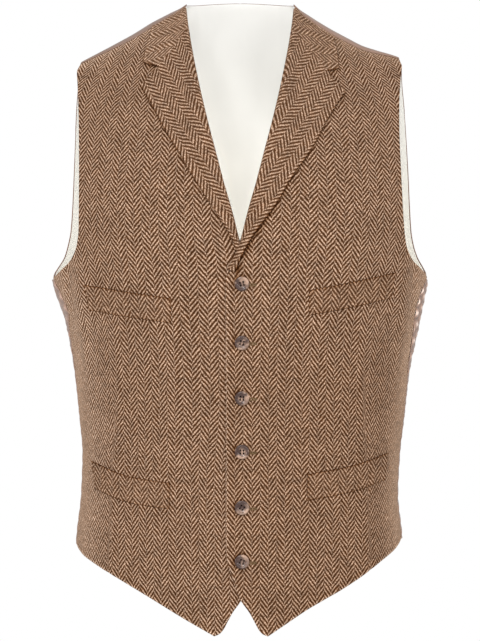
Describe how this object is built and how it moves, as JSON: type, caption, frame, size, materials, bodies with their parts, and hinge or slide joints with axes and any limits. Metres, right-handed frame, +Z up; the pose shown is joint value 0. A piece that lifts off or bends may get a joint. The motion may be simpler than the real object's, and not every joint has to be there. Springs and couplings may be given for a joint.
{
  "type": "suit waistcoat filled out as worn, held up by the wearer's shoulders",
  "caption": "Single-breasted herringbone suit waistcoat with notched lapels, welt pockets, pointed front hem and satin back, filled out as worn.",
  "frame": {"origin": "between the two neck points, where the wearer's shoulders carry the waistcoat", "axes": "+Z up, front faces -Y, the wearer's left is +X"},
  "size_m": [0.3978, 0.2293, 0.6665],
  "materials": {
    "tweed": "brown and cream herringbone wool tweed, matt with a short nap",
    "satin": "plain mauve-beige lining satin, glossy",
    "lining": "plain ivory lining cloth with a slight sheen",
    "horn": "grey-brown marbled horn look, half gloss"
  },
  "bodies": {
    "root": {"front_left": "tweed", "front_right": "tweed", "back_left": "satin", "back_right": "satin", "lining_back": "lining", "lapel_left": "tweed", "lapel_right": "tweed", "collar_left": "tweed", "collar_right": "tweed", "welt_upper_left": "tweed", "welt_upper_right": "tweed", "welt_lower_left": "tweed", "welt_lower_right": "tweed", "button_1": "horn", "button_2": "horn", "button_3": "horn", "button_4": "horn", "button_5": "horn", "button_6": "horn"}
  },
  "joints": []
}
